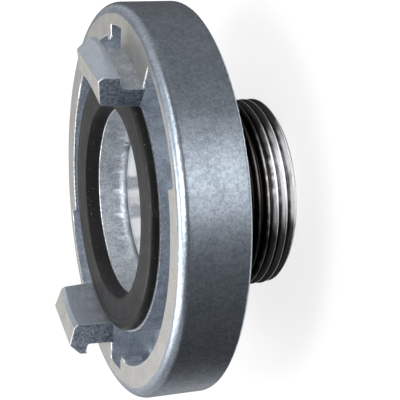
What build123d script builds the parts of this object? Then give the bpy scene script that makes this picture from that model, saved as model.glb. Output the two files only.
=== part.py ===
from build123d import *
import math
import os

# Quarter-turn fire hose coupling, fixed pattern with a male pipe thread.
# Sizes in millimetres. The coupling axis is Z. The part stands on the end of its threaded tail at
# Z = 0, the claws point up, and the middle of the two claws lies on the X axis.

# Outer ring
ring_width = 16.5
ring_wall = 4.4
ring_front_round = 2.6
ring_back_round = 1.0

# Threaded tail: its wall brings the crest of the G 1 1/2 pipe thread to 47.803 across
tail_length = 22.5
tail_wall = 3.9015
thread_end_chamfer = 1.2
relief_width = 3.4
relief_depth = 1.7
bore_chamfer = 0.8

# Throat between the seal and the bored tail
throat_taper = 2.5
throat_step = 0.4
throat_drop = 2.2
throat_length = 7.0

# Collar that holds the seal
claw_spacing = 66.0
mate_clearance = 0.35
collar_drop = 0.7
collar_wall = 2.55
seal_groove_width = 5.2
seal_groove_wall = 2.0
seal_foot_step = 0.9
seal_foot_height = 3.0
seal_floor_rise = 1.8

# Seal
seal_fit_gap = 0.15
seal_bead_inset = 0.55
seal_stand = 1.55
seal_inner_stand = 1.35
seal_lip_inset = 0.25
seal_mouth_taper = 0.85
seal_bead_round = 1.2
seal_mouth_round = 0.4

# Claw track: slot under the lip, entry pocket and end notch
track_floor_thickness = 4.9
track_floor_round = 1.5
lip_clearance = 2.3
lip_reach = 3.8
lip_entry_thickness = 4.2
lip_end_thickness = 5.0
pocket_play = 6.9
notch_arc = 10.0
notch_wall_step = 1.1
nib_radius = 2.0
nib_height = 1.1

# Claws: the leading end is the counter-clockwise one, seen from the front
claw_half_width = 9.0
claw_flare = 9.0
claw_draft = 4.0
claw_neck_depth = 5.5
hook_reach = 3.0
hook_offset = 1.5
hook_clearance_leading = 1.4
hook_clearance_trailing = 1.0
hook_thickness_leading = 3.4
hook_thickness_trailing = 4.1
hook_bevel_leading = 2.4
hook_bevel_trailing = 1.1
hook_root_round = 0.7
claw_tip_rise = 1.4
claw_tip_chamfer = 0.8
claw_edge_round = 0.4

# Heights worked out from the sizes above
front_z = tail_length + ring_width
rim_z = front_z - collar_drop
track_floor_z = tail_length + track_floor_thickness
seal_floor_z = track_floor_z + seal_floor_rise
seal_foot_z = seal_floor_z + seal_foot_height
throat_z = front_z - throat_drop
bored_z = throat_z - throat_length
hook_gap_leading = lip_end_thickness + hook_clearance_leading
hook_gap_trailing = lip_entry_thickness + hook_clearance_trailing
claw_height_leading = hook_gap_leading + hook_thickness_leading
claw_height_trailing = hook_gap_trailing + hook_thickness_trailing

# Radii, from the claw's inner face outwards to the ring
claw_inner_radius = claw_spacing / 2
neck_radius = claw_inner_radius + claw_neck_depth
hook_radius = neck_radius + hook_reach
lip_radius = neck_radius + lip_clearance
track_radius = lip_radius + lip_reach
notch_radius = track_radius - notch_wall_step
ring_radius = track_radius + ring_wall

# Radii, from the claw's inner face inwards to the seal's groove, the throat and the bore
collar_radius = claw_inner_radius - mate_clearance
seal_groove_outer = collar_radius - collar_wall
seal_foot_radius = seal_groove_outer + seal_foot_step
seal_bead_radius = collar_radius - seal_bead_inset
seal_groove_inner = seal_groove_outer - seal_groove_width
throat_radius = seal_groove_inner - seal_groove_wall
seal_lip_radius = throat_radius + seal_lip_inset
seal_mouth_radius = seal_lip_radius + seal_mouth_taper
bore_radius = throat_radius - throat_taper - throat_step

# Radii of the tail, from the bore outwards
thread_radius = bore_radius + tail_wall
relief_radius = thread_radius - relief_depth

# Angles in degrees, from the middle of a claw
claw_end_angle = math.degrees(math.atan2(claw_half_width, claw_inner_radius))
pocket_arc = 2 * claw_end_angle + pocket_play


def ring_section(points):
    """A closed outline in the XZ plane, from radius and height pairs."""
    return make_face(Plane.XZ * Polyline(*points, close=True))


def annulus(inner, outer, low, high, start, arc, floor_round=0.0):
    """A sector of a ring from the start angle round by arc degrees, with a rounded floor if asked."""
    section = ring_section([(inner, low), (outer, low), (outer, high), (inner, high)])
    if floor_round > 0:
        section = fillet(section.vertices().group_by(Axis.Z)[0], floor_round)
    return Rot(Z=start) * revolve(section, Axis.Z, arc)


def keystone(low, high, draft=0.0):
    """The wedge between a claw's two end faces, wider outwards and narrower upwards."""
    slope = math.tan(math.radians(claw_flare))
    near, far = claw_inner_radius / 2, ring_radius + ring_wall
    near_half = claw_half_width - (claw_inner_radius - near) * slope
    far_half = claw_half_width + (far - claw_inner_radius) * slope
    corners = [(near, -near_half), (far, -far_half), (far, far_half), (near, near_half)]
    outline = make_face(Polyline(*corners, close=True))
    return extrude(Plane.XY.offset(low) * outline, high - low, taper=draft)


def plane_through(*corners):
    """The plane through three points given as radius, angle and height, in counter-clockwise order."""
    spots = [Vector(r, 0, h).rotate(Axis.Z, angle) for r, angle, h in corners]
    return Plane(spots[0], z_dir=(spots[1] - spots[0]).cross(spots[2] - spots[0]))


def ramp(first_angle, first_z, last_angle, last_z):
    """A plane that rises steadily from one height to another while the angle goes round."""
    return plane_through(
        (neck_radius, first_angle, first_z),
        (neck_radius, last_angle, last_z),
        (0, 0, (first_z + last_z) / 2),
    )


def blank():
    """The turned form of the casting: bored tail, flange, collar with its seal groove."""
    section = ring_section([
        (bore_radius, bore_chamfer),
        (bore_radius + bore_chamfer, 0),
        (thread_radius - thread_end_chamfer, 0),
        (thread_radius, thread_end_chamfer),
        (thread_radius, tail_length - relief_width),
        (relief_radius, tail_length - relief_width + relief_depth),
        (relief_radius, tail_length),
        (ring_radius, tail_length),
        (ring_radius, front_z),
        (claw_inner_radius, front_z),
        (claw_inner_radius, rim_z),
        (seal_groove_outer, rim_z),
        (seal_groove_outer, seal_foot_z),
        (seal_foot_radius, seal_foot_z),
        (seal_foot_radius, seal_floor_z),
        (seal_groove_inner, seal_floor_z),
        (seal_groove_inner, throat_z),
        (throat_radius, throat_z),
        (bore_radius + throat_step, bored_z),
        (bore_radius, bored_z),
    ])
    turned = revolve(section, Axis.Z)
    rim = turned.edges().filter_by(GeomType.CIRCLE).filter_by(lambda e: abs(e.radius - ring_radius) < 0.01)
    turned = fillet(rim.sort_by(Axis.Z)[-1], ring_front_round)
    rim = turned.edges().filter_by(GeomType.CIRCLE).filter_by(lambda e: abs(e.radius - ring_radius) < 0.01)
    return fillet(rim.sort_by(Axis.Z)[0], ring_back_round)


def track():
    """The space that one claw of the mating coupling enters and turns through.

    It runs counter-clockwise from the claw on the X axis to the other claw. The entry pocket is at
    its far end and the short notch at its near end, with the lip between them. A rounded nib on the
    lip marks the end of the notch.
    """
    first, last = claw_end_angle / 2, 180 - claw_end_angle / 2
    pocket_start = 180 - claw_end_angle - pocket_arc
    above = front_z + claw_height_leading
    wall_z = track_floor_z + track_floor_round
    under_lip = annulus(
        collar_radius, track_radius, track_floor_z, front_z, first, last - first, track_floor_round
    )
    under_lip = under_lip.split(
        ramp(claw_end_angle, front_z - lip_end_thickness, pocket_start, front_z - lip_entry_thickness),
        keep=Keep.BOTTOM,
    )
    slot = annulus(collar_radius, lip_radius, wall_z, above, first, last - first)
    pocket = annulus(collar_radius, track_radius, wall_z, above, pocket_start, last - pocket_start)
    notch_end = claw_end_angle + notch_arc
    notch = annulus(collar_radius, notch_radius, wall_z, above, first, notch_end - first)
    nib = post(nib_radius, wall_z, above)
    nib = Rot(Z=notch_end) * Pos(lip_radius + nib_radius - nib_height, nib_radius) * nib
    cut = under_lip + (slot - nib) + pocket + notch
    wedge = keystone(tail_length, above)
    return cut - wedge - Rot(Z=180) * wedge


def post(radius, low, high, offset=0.0):
    """A cylinder between two heights, its axis moved along Y by the offset."""
    return Pos(0, offset, low) * Cylinder(radius, high - low, align=(Align.CENTER, Align.CENTER, Align.MIN))


def claw():
    """One hooked claw on the front face: its hook turns outwards and its faces follow the ramp."""
    high = front_z + 2 * claw_height_leading
    start, end = -claw_end_angle, claw_end_angle
    start_z, end_z = front_z + claw_height_trailing, front_z + claw_height_leading
    top = plane_through(
        (claw_inner_radius, start, start_z),
        (hook_radius, start, start_z + claw_tip_rise),
        (claw_inner_radius, end, end_z),
    )
    bevel = plane_through(
        (hook_radius - hook_bevel_trailing, start, start_z + claw_tip_rise),
        (hook_radius, end, end_z + claw_tip_rise - hook_bevel_leading),
        (hook_radius - hook_bevel_leading, end, end_z + claw_tip_rise),
    )
    block = post(hook_radius, front_z, high, hook_offset) - post(claw_inner_radius, front_z, high)
    block = block & keystone(front_z, high, claw_draft)
    block = block.split(top, keep=Keep.BOTTOM).split(bevel, keep=Keep.BOTTOM)
    tip = block.faces().sort_by(Axis.Z)[-1]
    block = chamfer(tip.edges().sort_by(Axis.X)[0], claw_tip_chamfer)
    block = fillet(block.edges().filter_by(lambda e: e.center().Z > front_z + 0.1), claw_edge_round)
    gap = post(ring_radius, front_z, high) - post(neck_radius, front_z, high, hook_offset)
    gap = gap.split(
        ramp(start, front_z + hook_gap_trailing, end, front_z + hook_gap_leading), keep=Keep.BOTTOM
    )
    neck_edges = gap.edges().filter_by(lambda e: on_neck(e.position_at(0.5)))
    return block - fillet(neck_edges.sort_by(Axis.Z)[-1], hook_root_round)


def on_neck(point):
    """Whether a point lies on the outer face of the claws' necks."""
    return abs(math.hypot(point.X, point.Y - hook_offset) - neck_radius) < 0.01


def coupling_body():
    """The one-piece casting: turned blank, two tracks cut in, two claws on the front face."""
    body = blank()
    for turn in (0, 180):
        body = body - Rot(Z=turn) * track() + Rot(Z=turn) * claw()
    return body


def lip_seal():
    """The moulded rubber seal: bead on the collar's rim, stem and foot in the collar's groove."""
    stem_inner = seal_groove_inner + seal_fit_gap
    stem_outer = seal_groove_outer - seal_fit_gap
    foot_outer = seal_foot_radius - seal_fit_gap
    face_z, mouth_z = front_z + seal_stand, front_z + seal_inner_stand
    section = ring_section([
        (stem_inner, seal_floor_z),
        (foot_outer, seal_floor_z),
        (foot_outer, seal_foot_z - seal_fit_gap),
        (stem_outer, seal_foot_z - seal_fit_gap),
        (stem_outer, rim_z),
        (seal_bead_radius, rim_z),
        (seal_bead_radius, face_z),
        (seal_mouth_radius, mouth_z),
        (seal_lip_radius, throat_z),
        (stem_inner, throat_z),
    ])
    corners = section.vertices().sort_by(Axis.Z)
    outer = corners[-1]
    section = fillet(outer, seal_bead_round)
    mouth = section.vertices().filter_by(lambda v: abs(v.Z - mouth_z) < 0.001)
    section = fillet(mouth, seal_mouth_round)
    return revolve(section, Axis.Z)


os.makedirs("parts", exist_ok=True)
pieces = {"coupling_body": coupling_body(), "lip_seal": lip_seal()}
for name, solid in pieces.items():
    export_step(solid, f"parts/{name}.step")
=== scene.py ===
import bmesh
import bpy
import math
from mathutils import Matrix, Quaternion, Vector


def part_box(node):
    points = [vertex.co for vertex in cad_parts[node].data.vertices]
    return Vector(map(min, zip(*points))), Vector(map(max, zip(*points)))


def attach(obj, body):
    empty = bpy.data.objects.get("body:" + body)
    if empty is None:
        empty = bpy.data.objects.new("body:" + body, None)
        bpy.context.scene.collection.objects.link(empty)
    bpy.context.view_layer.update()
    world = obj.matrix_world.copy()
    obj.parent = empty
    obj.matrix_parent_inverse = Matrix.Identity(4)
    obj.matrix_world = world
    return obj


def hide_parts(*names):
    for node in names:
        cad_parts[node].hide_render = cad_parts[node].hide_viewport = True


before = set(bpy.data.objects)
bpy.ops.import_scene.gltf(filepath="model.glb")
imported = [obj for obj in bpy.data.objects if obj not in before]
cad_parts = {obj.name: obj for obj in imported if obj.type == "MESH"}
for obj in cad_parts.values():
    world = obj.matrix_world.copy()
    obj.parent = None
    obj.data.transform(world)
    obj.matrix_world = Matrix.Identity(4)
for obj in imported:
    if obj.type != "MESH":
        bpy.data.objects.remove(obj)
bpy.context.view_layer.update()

# The camera stands where the photograph was taken from: low over the front face, turned on its
# side, so that the coupling's axis lies level in the picture with the claws to the left.
MM = 0.001
view_azimuth, view_elevation, view_roll = -54.8, 20.098, 94.357
view_distance = 298.69 * MM
view_target = Vector((3.075, -6.639, 19.330)) * MM
view_lens = 108


def way_to(azimuth, elevation):
    """The direction to a place round the coupling and above it, from angles in degrees."""
    round_axis, above = math.radians(azimuth), math.radians(elevation)
    level = math.cos(above)
    return Vector((math.cos(round_axis) * level, math.sin(round_axis) * level, math.sin(above)))


outward = way_to(view_azimuth, view_elevation)
roll = Quaternion((0, 0, 1), -math.radians(view_roll))
camera = bpy.data.objects.new("camera", bpy.data.cameras.new("camera"))
camera.data.lens = view_lens
camera.data.clip_start = 10 * MM
camera.location = view_target + view_distance * outward
camera.rotation_mode = "QUATERNION"
camera.rotation_quaternion = (-outward).to_track_quat("-Z", "Y") @ roll
bpy.context.scene.collection.objects.link(camera)
bpy.context.scene.camera = camera


# The coupling body is one aluminium casting, turned on its front face, ring, bore and tail, with
# a G 1 1/2 pipe thread cut on the tail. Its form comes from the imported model; the thread, the
# rounds on its edges and its finishes are made here.
# The crests lie just under the tail's own surface, so that the die cuts every one of them.
thread_crest, thread_pitch = 23.88, 25.4 / 11
thread_low, thread_high = -1.0, 20.9
lip_inner, lip_outer, lip_front = 40.0, 41.5, 38.9
lip_round, edge_round, sharp_edge = 0.55, 0.22, 32

# Where one finish gives way to the next, as radii from the axis and heights over the tail's end,
# and how squarely a face looks up or round the axis.
bore_edge, bored_top, step_top = 20.9, 29.7, 29.9
throat_edge, throat_top = 23.2, 36.9
tail_skin, tail_top, ring_back = 21.5, 22.0, 22.9
ring_side, ring_side_low = 46.2, 22.4
front_inner, front_low, front_high = 30.0, 38.6, 39.2
claw_top_low = 45.0
roughly_up, squarely_up, squarely_round = 0.3, 0.8, 0.85


def take_up(piece):
    """Make one piece the only selected and active object."""
    bpy.ops.object.select_all(action="DESELECT")
    piece.select_set(True)
    bpy.context.view_layer.objects.active = piece


def apply_modifier(piece, kind, **settings):
    """Shape a piece with a modifier, and keep the result as its mesh."""
    modifier = piece.modifiers.new(kind.lower(), kind)
    for setting, value in settings.items():
        setattr(modifier, setting, value)
    take_up(piece)
    bpy.ops.object.modifier_apply(modifier=modifier.name)


def weld(distance):
    """Join the corners, of the piece being edited, that lie this many millimetres apart or less."""
    bpy.ops.mesh.select_all(action="SELECT")
    bpy.ops.mesh.remove_doubles(threshold=distance * MM)


def copy_of_node(node_name, name):
    """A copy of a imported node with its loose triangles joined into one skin."""
    on_plane, flat = 0.01 * MM, math.radians(0.5)
    piece = bpy.data.objects.new(name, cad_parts[node_name].data.copy())
    bpy.context.scene.collection.objects.link(piece)
    take_up(piece)
    bpy.ops.object.mode_set(mode="EDIT")
    weld(0.003)
    # Two seams through the axis keep flat rings from being joined into one face with a hole.
    for way in ((0.2, 1, 0), (1, -0.2, 0)):
        bpy.ops.mesh.select_all(action="SELECT")
        bpy.ops.mesh.bisect(plane_co=(0, 0, 0), plane_no=way, threshold=on_plane)
        bpy.ops.mesh.mark_seam(clear=False)
    bpy.ops.mesh.select_all(action="SELECT")
    bpy.ops.mesh.dissolve_limited(angle_limit=flat, delimit={"SEAM"})
    bpy.ops.object.mode_set(mode="OBJECT")
    return piece


def drawn_outline(name, points):
    """A chain of edges in the XZ plane through radius and height pairs, in millimetres."""
    radius, height = points[0]
    bpy.ops.object.select_all(action="DESELECT")
    bpy.ops.mesh.primitive_plane_add(size=MM, location=(radius * MM, 0, height * MM))
    piece = bpy.context.object
    piece.name = name
    bpy.ops.object.transform_apply(location=True)
    bpy.ops.object.mode_set(mode="EDIT")
    bpy.ops.mesh.select_mode(type="VERT")
    bpy.ops.mesh.select_all(action="SELECT")
    bpy.ops.mesh.merge(type="CENTER")
    for (r0, z0), (r1, z1) in zip(points, points[1:]):
        step = ((r1 - r0) * MM, 0, (z1 - z0) * MM)
        bpy.ops.mesh.extrude_region_move(TRANSFORM_OT_translate={"value": step})
    bpy.ops.object.mode_set(mode="OBJECT")
    return piece


def thread_cutter(crest_radius, pitch, low, high):
    """The metal that a die takes off a tail: a ring with a 55 degree thread form on its inside."""
    depth, nose = 0.6403 * pitch, 0.1373 * pitch
    flank, facets, spare_turns, outer_wall = 27.5, 128, 2, 1.3
    swing = math.radians(90 - flank)
    turns = [share * swing for share in (-1, -0.5, 0, 0.5, 1)]
    crest = [(crest_radius - nose * (1 - math.cos(t)), nose * math.sin(t)) for t in turns]
    root = [(2 * crest_radius - depth - r, z + pitch / 2) for r, z in crest]
    next_crest = (crest[0][0], crest[0][1] + pitch)
    start = low - spare_turns * pitch
    outline = [(r, z + start) for r, z in crest + root + [next_crest]]
    cutter = drawn_outline("thread_cutter", outline)
    windings = math.ceil((high - start) / pitch) + spare_turns
    apply_modifier(
        cutter, "SCREW", angle=2 * math.pi, screw_offset=pitch * MM, iterations=windings,
        steps=facets, render_steps=facets,
    )
    bpy.ops.object.mode_set(mode="EDIT")
    weld(0.002)
    for height, side in ((low, {"clear_inner": True}), (high, {"clear_outer": True})):
        bpy.ops.mesh.select_all(action="SELECT")
        bpy.ops.mesh.bisect(plane_co=(0, 0, height * MM), plane_no=(0, 0, 1), **side)
    bpy.ops.mesh.select_all(action="DESELECT")
    bpy.ops.mesh.select_non_manifold()
    bpy.ops.mesh.extrude_edges_move()
    bpy.ops.transform.resize(value=(outer_wall, outer_wall, 1), center_override=(0, 0, 0))
    bpy.ops.mesh.bridge_edge_loops()
    bpy.ops.mesh.select_all(action="SELECT")
    bpy.ops.mesh.normals_make_consistent(inside=False)
    bpy.ops.object.mode_set(mode="OBJECT")
    return cutter


def round_edges(piece, width, finish_slot, chosen):
    """Round the sharp convex edges that a test picks out, and give the rounds a finish."""
    take_up(piece)
    bpy.ops.object.mode_set(mode="EDIT")
    bpy.ops.mesh.select_mode(type="EDGE")
    bpy.ops.mesh.select_all(action="DESELECT")
    bpy.ops.mesh.edges_select_sharp(sharpness=math.radians(sharp_edge))
    skin = bmesh.from_edit_mesh(piece.data)
    for edge in skin.edges:
        if edge.select and not (edge.is_convex and chosen(edge)):
            edge.select = False
    bmesh.update_edit_mesh(piece.data)
    bpy.ops.mesh.bevel(
        offset=width * MM, segments=2, affect="EDGES", clamp_overlap=False, material=finish_slot
    )
    bpy.ops.object.mode_set(mode="OBJECT")


def has_room(edge):
    """Whether an edge runs clear of any detail finer than the round that it gets."""
    shortest, narrowest = 1.6 * edge_round * MM, 2.2 * edge_round * MM
    lengths = [near.calc_length() for corner in edge.verts for near in corner.link_edges]
    strips = [2 * face.calc_area() / face.calc_perimeter() for face in edge.link_faces]
    return min(lengths) >= shortest and min(strips) >= narrowest


def on_lip_mouth(edge):
    """Whether an edge is part of the front edge of the lip that the mating claws pass under."""
    middle = (edge.verts[0].co + edge.verts[1].co) / 2 / MM
    lowest = min(corner.co.z for corner in edge.verts) / MM
    return lip_inner < math.hypot(middle.x, middle.y) < lip_outer and lowest > lip_front


def shade(piece, sharp):
    """Shade smooth up to a sharp angle, with flat faces kept flat."""
    take_up(piece)
    bpy.ops.object.shade_smooth_by_angle(angle=math.radians(sharp))
    apply_modifier(piece, "WEIGHTED_NORMAL", keep_sharp=True)


def plug(value, socket):
    """Give a shader socket a plain value, a plain colour or another node's output."""
    if isinstance(value, Tone):
        value.socket.id_data.links.new(value.socket, socket)
    elif socket.type == "RGBA":
        socket.default_value = (*value, 1)
    else:
        socket.default_value = value


class Tone:
    """A number that varies over a surface, with its sums written as plain expressions."""

    def __init__(self, socket):
        self.socket = socket

    def sum_of(self, operation, *terms):
        """A Math node on plain numbers and numbers that vary."""
        node = self.socket.id_data.nodes.new("ShaderNodeMath")
        node.operation = operation
        for term, slot in zip(terms, node.inputs):
            plug(term, slot)
        return Tone(node.outputs[0])

    def __add__(self, other):
        return self.sum_of("ADD", self, other)

    def __sub__(self, other):
        return self.sum_of("SUBTRACT", self, other)

    def __rsub__(self, other):
        return self.sum_of("SUBTRACT", other, self)

    def __mul__(self, other):
        return self.sum_of("MULTIPLY", self, other)

    def __pow__(self, other):
        return self.sum_of("POWER", self, other)

    __radd__, __rmul__ = __add__, __mul__

    def at_least(self, other):
        return self.sum_of("MAXIMUM", self, other)


class NodeTree:
    """The nodes of one material or sky."""

    def __init__(self, tree):
        self.nodes = tree.nodes

    def node(self, kind, settings=None, inputs=None, output=0):
        """Any node: its settings first, then what its sockets hold or are fed by."""
        node = self.nodes.new(kind)
        for setting, value in (settings or {}).items():
            setattr(node, setting, value)
        for socket, value in (inputs or {}).items():
            plug(value, node.inputs[socket])
        return Tone(node.outputs[output])

    def dot(self, first, second):
        """How far two directions agree."""
        settings = {"operation": "DOT_PRODUCT"}
        return self.node("ShaderNodeVectorMath", settings, {0: first, 1: second}, "Value")


class Finish(NodeTree):
    """One surface finish: its shader, and the patterns round the axis that feed it."""

    def __init__(self, name, **constants):
        self.material = bpy.data.materials.new(name)
        self.material.use_nodes = True
        super().__init__(self.material.node_tree)
        self.surface = self.nodes["Principled BSDF"]
        for socket, value in constants.items():
            plug(value, self.surface.inputs[socket.replace("_", " ")])
        spot = self.node("ShaderNodeTexCoord", output="Object")
        in_mm = {0: spot, "Scale": 1 / MM}
        self.place = self.node("ShaderNodeVectorMath", {"operation": "SCALE"}, in_mm)
        flat = {0: self.place, 1: (1, 1, 0)}
        across = self.node("ShaderNodeVectorMath", {"operation": "MULTIPLY"}, flat)
        length = {"operation": "LENGTH"}
        self.radius = self.node("ShaderNodeVectorMath", length, {0: across}, "Value")
        self.height = self.node("ShaderNodeSeparateXYZ", inputs={0: self.place}, output="Z")

    def grain(self, size, detail=2.0, rough=0.5, at=None):
        """Cloudy noise whose lumps are about a size across, in millimetres."""
        inputs = {"Scale": 1 / size, "Detail": detail, "Roughness": rough}
        return self.node("ShaderNodeTexNoise", inputs={**inputs, "Vector": at or self.place})

    def rings(self, width):
        """Fine rings round the axis, as a turning tool leaves them, about a width apart."""
        turned = self.node("ShaderNodeCombineXYZ", inputs={"X": self.radius, "Z": self.height})
        return self.grain(width, detail=1.0, at=turned)

    def facing(self, azimuth, radius):
        """One at this azimuth and radius, and less the further round the axis from there."""
        turn = math.radians(azimuth)
        return self.dot(self.place, (math.cos(turn) / radius, math.sin(turn) / radius, 0))

    def step(self, value, low, high):
        """Nought below the low value, one above the high one, and smooth between."""
        inputs = {"Value": value, "From Min": low, "From Max": high}
        return self.node("ShaderNodeMapRange", {"interpolation_type": "SMOOTHSTEP"}, inputs)

    def blend(self, share, first, second):
        """One colour turning into another."""
        inputs = {0: share, 6: first, 7: second}
        return self.node("ShaderNodeMix", {"data_type": "RGBA"}, inputs, output=2)

    def wear(self, colour, roughness, relief, depth):
        """Join the patterns to the surface; depth is the relief's height in millimetres."""
        bump = self.node("ShaderNodeBump", inputs={"Height": relief, "Distance": depth * MM})
        fed = {"Base Color": colour, "Roughness": roughness, "Normal": bump}
        for socket, value in fed.items():
            plug(value, self.surface.inputs[socket])
        return self.material


def cast_skin():
    """Cast skin of tracks and claws: dull, mottled, faintly pitted, and darker up the hooks as
    painted shade.
    """
    dark, pale = (0.36, 0.40, 0.455), (0.74, 0.79, 0.85)
    claw_root, hook_height = 40.0, 45.0
    finish = Finish("cast_skin", Metallic=0.8)
    cloud = finish.grain(3.5, detail=3.0)
    speck = finish.grain(0.55, rough=0.6)
    tone = finish.step(0.5 * cloud + 0.5 * speck, 0.32, 0.68)
    # Painted shade: the skin darkens from the claws' roots up to the hooks.
    tone = tone * (1 - 0.75 * finish.step(finish.height, claw_root, hook_height))
    relief = 0.5 * speck + 0.7 * finish.grain(1.3)
    return finish.wear(finish.blend(tone, dark, pale), 0.46 - 0.14 * tone, relief, depth=0.11)


def throat_skin():
    """The throat's cast wall: dull grey, dotted with small pits, and darker at its foot as painted
    shade.
    """
    grime_and_shade, dark, pale = (0.14, 0.15, 0.17), (0.27, 0.30, 0.345), (0.56, 0.595, 0.645)
    foot, clear_of_foot = 29.8, 31.2
    finish = Finish("throat_skin", Metallic=0.75)
    speck = finish.grain(0.5, rough=0.6)
    tone = finish.step(0.4 * finish.grain(3.0, detail=3.0) + 0.6 * speck, 0.34, 0.66)
    # Painted shade: the wall takes the darkest colour at its foot, in the corner of the step.
    bright_share = finish.step(finish.height, foot, clear_of_foot)
    colour = finish.blend(bright_share, grime_and_shade, finish.blend(tone, dark, pale))
    return finish.wear(colour, 0.60 - 0.12 * tone, speck, depth=0.04)


def shaded_cast_end():
    """The claws' ends, which face round the axis, and the step in the bore: a dark, slaty copy of
    the cast skin, as painted shade.
    """
    dark, pale = (0.11, 0.135, 0.17), (0.30, 0.345, 0.40)
    finish = Finish("shaded_cast_end", Metallic=0.9)
    speck = finish.grain(0.7, detail=3.0, rough=0.6)
    tone = finish.step(speck, 0.32, 0.70)
    return finish.wear(finish.blend(tone, dark, pale), 0.44 - 0.10 * tone, speck, depth=0.08)


def rubbed_edge_glint():
    """Edges of the casting, rubbed bright by other couplings, and paler still as a painted glint
    along them.
    """
    dark, pale = (0.52, 0.56, 0.62), (0.93, 0.94, 0.95)
    finish = Finish("rubbed_edge_glint", Metallic=1.0)
    speck = finish.grain(0.8)
    tone = finish.step(speck, 0.40, 0.60)
    return finish.wear(finish.blend(tone, dark, pale), 0.42 - 0.14 * tone, speck, depth=0.05)


def turned_face():
    """The turned front face: paler, with a warm tint that is a painted reflection, fine rings from
    the tool and dull stains.
    """
    # The warm tint of both colours is a painted reflection of warm surroundings.
    dark, pale = (0.43, 0.415, 0.39), (0.60, 0.59, 0.565)
    finish = Finish("turned_face", Metallic=0.9)
    rings = finish.rings(0.22)
    cloud = finish.grain(5.0, detail=4.0, rough=0.6)
    speck = finish.grain(0.5)
    tone = finish.step(0.45 * cloud + 0.4 * speck + 0.15 * rings, 0.34, 0.66)
    relief = 0.5 * rings + 0.5 * speck
    return finish.wear(finish.blend(tone, dark, pale), 0.46 - 0.10 * tone, relief, depth=0.035)


def ring_skin():
    """The ring's side: turned and tumbled, satin blue-grey, finely speckled and handled."""
    dark, pale = (0.295, 0.345, 0.41), (0.57, 0.635, 0.72)
    finish = Finish("ring_skin", Metallic=1.0)
    cloud = finish.grain(6.0, detail=3.0)
    patch = finish.grain(1.3, detail=3.0)
    speck = finish.grain(0.55, rough=0.65)
    tone = finish.step(0.22 * cloud + 0.28 * patch + 0.50 * speck, 0.33, 0.67)
    relief = 0.7 * speck + 0.7 * finish.grain(0.9)
    return finish.wear(finish.blend(tone, dark, pale), 0.36 - 0.08 * tone, relief, depth=0.07)


def bored_wall():
    """The turned bore: smooth metal with rings from the boring tool."""
    dark, pale = (0.88, 0.90, 0.92), (0.98, 0.98, 0.98)
    finish = Finish("bored_wall", Metallic=1.0)
    rings = finish.rings(0.3)
    tone = finish.step(0.5 * rings + 0.5 * finish.grain(3.0, detail=3.0), 0.30, 0.70)
    return finish.wear(finish.blend(tone, dark, pale), 0.24 - 0.08 * tone, rings, depth=0.015)


def oiled_thread_painted_light():
    """The cut thread: bright crests, a painted highlight on one side, a painted shadow of the ring
    on the turns nearest it, and roots darkened by oil and grime and by painted shade.
    """
    grime_and_shade, bright = (0.018, 0.015, 0.012), (0.84, 0.84, 0.86)
    # Where round the axis the painted highlight lies, and the heights between which the painted
    # shadow of the ring sets in.
    highlight_azimuth, highlight_radius = -46, 24
    unshadowed_below, shadowed_above = 6.3, 8.6
    root_radius, crest_radius = 23.45, 24.15
    finish = Finish("oiled_thread_painted_light", Metallic=1.0)
    cloud = finish.grain(2.5, detail=3.0)
    speck = finish.grain(0.4)
    # Painted shadow: the turns nearest the ring take the dark colour, as if the ring shaded them.
    ring_shadow = finish.step(finish.height + 3.0 * (cloud - 0.5), unshadowed_below, shadowed_above)
    lit_and_worn_radius = finish.radius + 0.5 * cloud + 0.9 * (1 - ring_shadow)
    # Crests take the bright colour, roots the dark one: partly oil and grime, partly painted shade
    # in the roots.
    crest = finish.step(lit_and_worn_radius, root_radius, crest_radius)
    # Painted highlight: the crests are brightest on one side round the axis.
    side = finish.facing(highlight_azimuth, highlight_radius)
    painted_highlight = finish.step(side + 0.5 * (finish.grain(9.0) - 0.5), 0.82, 0.97)
    bright_share = crest * (1 - 0.90 * ring_shadow) * (0.25 + 0.75 * painted_highlight)
    colour = finish.blend(bright_share, grime_and_shade, bright)
    return finish.wear(colour, 0.34 - 0.10 * bright_share, speck, depth=0.02)


CAST, TURNED, RING, BORED, THREAD, RUBBED_GLINT, THROAT, SHADED_END = range(8)
finishes = (
    cast_skin, turned_face, ring_skin, bored_wall, oiled_thread_painted_light, rubbed_edge_glint, throat_skin, shaded_cast_end
)


def slot_of(face):
    """The finish that a face of the casting has, told by its place and the way it faces."""
    spot, way = face.center / MM, face.normal
    radius, level = math.hypot(spot.x, spot.y), spot.z
    across = abs(spot.y * way.x - spot.x * way.y)
    in_bore, outside_tail = radius < bore_edge, radius > tail_skin
    claw_end = level > front_high and across > squarely_round * radius
    claw_top = level > claw_top_low and way.z > squarely_up
    on_front = front_low < level < front_high and radius > front_inner
    if outside_tail and level < tail_top:
        return THREAD
    if in_bore and level < bored_top:
        return BORED
    # Painted shade: the claws' faces that face round the axis, and the bore's step, take the dark
    # copy of the cast skin.
    if (in_bore and level < step_top) or claw_end:
        return SHADED_END
    if step_top < level < throat_top and radius < throat_edge:
        return THROAT
    if radius > ring_side and level > ring_side_low:
        return RING
    if (on_front and way.z > roughly_up) or claw_top or (outside_tail and level < ring_back):
        return TURNED
    return CAST


body = copy_of_node("coupling_body", "body_casting")
cutter = thread_cutter(thread_crest, thread_pitch, thread_low, thread_high)
apply_modifier(body, "BOOLEAN", operation="DIFFERENCE", solver="EXACT", object=cutter)
bpy.data.objects.remove(cutter)
body.data.materials.clear()
for finish in finishes:
    body.data.materials.append(finish())
# The rounds take the rubbed finish, whose pale colour is partly wear and partly a painted glint.
round_edges(body, lip_round, RUBBED_GLINT, on_lip_mouth)
round_edges(body, edge_round, RUBBED_GLINT, has_room)
shade(body, sharp_edge)
for face in body.data.polygons:
    if face.material_index != RUBBED_GLINT:
        face.material_index = slot_of(face)
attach(body, "root")
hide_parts("coupling_body")


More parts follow.
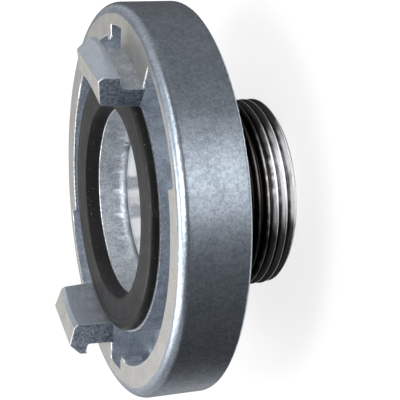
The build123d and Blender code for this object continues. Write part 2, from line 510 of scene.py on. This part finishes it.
# The lip seal is one moulded ring of black rubber. Its foot sits in the collar's groove, its
# bead lies over the collar's rim, and its lip reaches in over the throat.
stem_inner, stem_outer = 25.05, 29.95
foot_radius, foot_low, foot_high = 30.85, 29.2, 32.05
rim_height, bead_radius, bead_round, bead_bevel = 38.3, 32.1, 1.2, 0.25
crease_radius, face_dip_radius, face_dip = 29.5, 27.0, 0.10
crease = [(0.35, 0.02), (0.12, 0.06), (0, 0.14), (-0.12, 0.08), (-0.35, 0.05)]
mouth_radius, mouth_sink, mouth_round = 24.45, 0.65, 0.45
mouth_slope = [(23.75, 39.2), (23.45, 38.0)]
lip_radius, lip_height = 23.15, 36.8
lip_bevel_across, lip_bevel_up = 0.15, 0.2
seal_facets, seal_sharp = 160, 40


def arc(centre, radius, start, end):
    """Radius and height pairs along a round corner, between two angles in degrees."""
    steps = 6
    turns = [math.radians(start + (end - start) * n / steps) for n in range(steps + 1)]
    return [(centre[0] + radius * math.cos(t), centre[1] + radius * math.sin(t)) for t in turns]


def black_rubber():
    """Moulded rubber: near black, greyed by handling, with fine dust and mould marks."""
    black, greyed = (0.006, 0.006, 0.0065), (0.017, 0.016, 0.016)
    dust_grey = (0.30, 0.30, 0.30)
    finish = Finish("black_rubber", Specular_IOR_Level=0.26)
    speck = finish.grain(0.35, detail=1.0)
    rings = finish.rings(0.5)
    tone = 0.4 * finish.grain(6.0, detail=3.0) + 0.3 * speck + 0.3 * rings
    tone = finish.step(tone, 0.35, 0.65)
    dust = finish.step(finish.grain(0.30, detail=0.0), 0.80, 0.84)
    colour = finish.blend(dust, finish.blend(tone, black, greyed), dust_grey)
    return finish.wear(colour, 0.50 - 0.12 * tone, 0.6 * speck + 0.4 * rings, depth=0.03)


face_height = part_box("lip_seal")[1][2] / MM
outline = [(stem_inner, foot_low), (foot_radius, foot_low), (foot_radius, foot_high)]
outline += [(stem_outer, foot_high), (stem_outer, rim_height)]
outline += [(bead_radius - bead_bevel, rim_height), (bead_radius, rim_height + bead_bevel)]
outline += arc((bead_radius - bead_round, face_height - bead_round), bead_round, 0, 90)
outline += [(crease_radius + aside, face_height - down) for aside, down in crease]
outline += [(face_dip_radius, face_height - face_dip)]
outline += arc((mouth_radius, face_height - mouth_sink), mouth_round, 85, 172)
outline += mouth_slope
outline += [(lip_radius, lip_height + lip_bevel_up), (lip_radius + lip_bevel_across, lip_height)]
outline += [(stem_inner, lip_height), (stem_inner, foot_low)]
seal = drawn_outline("seal_ring", outline)
apply_modifier(seal, "SCREW", angle=2 * math.pi, steps=seal_facets, render_steps=seal_facets)
bpy.ops.object.mode_set(mode="EDIT")
weld(0.002)
bpy.ops.mesh.normals_make_consistent(inside=False)
bpy.ops.object.mode_set(mode="OBJECT")
shade(seal, seal_sharp)
seal.data.materials.clear()
seal.data.materials.append(black_rubber())
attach(seal, "root")
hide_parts("lip_seal")


# The stage is a pale floor with a pale wall far round it, in metres. The camera and the metal
# see both nearly white, and the floor keeps the coupling's shadow.
floor_width, backdrop_radius, backdrop_height = 6, 2.9, 2.4
floor_shine = 0.8


def floor_finish():
    """Pale and matt, but nearly white to the rays that look at it or are mirrored onto it."""
    finish = Finish("floor", Base_Color=(0.92, 0.92, 0.92), Roughness=0.9)
    looks = ("Is Camera Ray", "Is Glossy Ray", "Is Transmission Ray")
    seen = sum(finish.node("ShaderNodeLightPath", output=look) for look in looks)
    glow = finish.node("ShaderNodeEmission", inputs={"Color": (1, 1, 1)})
    surface = Tone(finish.surface.outputs[0])
    shares = {0: floor_shine * seen, 1: surface, 2: glow}
    mixed = finish.node("ShaderNodeMixShader", inputs=shares)
    plug(mixed, finish.nodes["Material Output"].inputs["Surface"])
    return finish.material


def round_wall(name, radius, low, high, material):
    """An upright wall round the coupling that throws no light or shadow, with sizes in metres."""
    bpy.ops.object.select_all(action="DESELECT")
    bpy.ops.mesh.primitive_cylinder_add(
        vertices=96, radius=radius, depth=high - low, end_fill_type="NOTHING",
        location=(0, 0, (low + high) / 2),
    )
    wall = bpy.context.object
    wall.name = name
    bpy.ops.object.transform_apply(location=True)
    wall.data.materials.append(material)
    wall.visible_diffuse = wall.visible_shadow = False
    return wall


pale = floor_finish()
bpy.ops.object.select_all(action="DESELECT")
bpy.ops.mesh.primitive_plane_add(size=floor_width)
floor = bpy.context.object
floor.name = "floor"
floor.data.materials.append(pale)
round_wall("backdrop", backdrop_radius, 0, backdrop_height, pale)


# Three rings of cards stand round the coupling, where only the metal's reflections see them, and
# light nothing: they paint the metal's reflections, dark for painted shade and bright in their
# lobes for painted highlights. A lobe is a bright stretch: its azimuth in degrees, its strength,
# and how narrow it is.
ring_lobes = [
    (-50, 1.0, 34), (-36, 0.22, 3), (22, 0.12, 6), (-95, 0.03, 8), (-149, 0.40, 20), (118, 0.7, 5)
]
tail_lobes = [(-44, 2.6, 14), (-20, 0.10, 3), (130, 1.8, 8)]
window_lobes = [(148, 0.42, 4), (-142, 0.4, 14), (65, 0.5, 8)]


def card_finish(name, radius, dim_level, lobes, fade):
    """Brightness round a ring of cards: a dim level, its lobes, and a fade towards its foot."""
    darkest = 0.03
    finish = Finish(name)
    bright = dim_level
    for azimuth, power, narrowness in lobes:
        bright = power * finish.facing(azimuth, radius).at_least(0) ** narrowness + bright
    bright = bright * finish.step(finish.height, *fade) + darkest
    glow = finish.node("ShaderNodeEmission", inputs={"Color": bright})
    plug(glow, finish.nodes["Material Output"].inputs["Surface"])
    return finish.material


def cards(name, radius, low, high, dim_level, lobes, fade):
    """A ring of cards, with its sizes and its fade's heights in millimetres."""
    material = card_finish(name, radius, dim_level, lobes, fade)
    wall = round_wall(name, radius * MM, low * MM, high * MM, material)
    wall.visible_camera = wall.visible_transmission = False


cards("ring_cards", radius=60, low=0, high=40, dim_level=0.01, lobes=ring_lobes, fade=(6, 14))
cards("tail_cards", radius=32, low=0, high=20, dim_level=0.01, lobes=tail_lobes, fade=(-2, -1))
cards("window", radius=300, low=80, high=330, dim_level=0.05, lobes=window_lobes, fade=(80, 90))


# The light is soft and plain: four square lamps that face the coupling, and a pale sky that is
# a little brighter behind it than before it.
lamp_aim = Vector((0, 0, 30)) * MM
sky_colour, sky_bright_side = (0.96, 0.98, 1.0), (-0.41, 0.58, 0.71)
sky_level, sky_swing = 0.40, 0.25


def lamp(name, azimuth, elevation, distance, size, power):
    """A square soft box that faces the coupling, with its sizes in metres."""
    light = bpy.data.objects.new(name, bpy.data.lights.new(name, "AREA"))
    light.data.size = size
    light.data.energy = power
    way = way_to(azimuth, elevation)
    light.location = lamp_aim + way * distance
    light.rotation_euler = way.to_track_quat("Z", "Y").to_euler()
    bpy.context.scene.collection.objects.link(light)


lamp("key", azimuth=-50, elevation=66, distance=0.8, size=0.3, power=3.5)
lamp("upper", azimuth=5, elevation=38, distance=0.9, size=0.5, power=3.5)
lamp("back", azimuth=150, elevation=52, distance=1.0, size=0.7, power=6)
lamp("rim", azimuth=-150, elevation=55, distance=0.9, size=0.25, power=0.7)

world = bpy.data.worlds.new("world")
bpy.context.scene.world = world
world.use_nodes = True
sky = NodeTree(world.node_tree)
bright_side = sky.dot(sky.node("ShaderNodeTexCoord", output="Generated"), sky_bright_side)
plug(sky_colour, sky.nodes["Background"].inputs["Color"])
plug(sky_level + sky_swing * bright_side, sky.nodes["Background"].inputs["Strength"])
bpy.context.scene.view_settings.view_transform = "Standard"
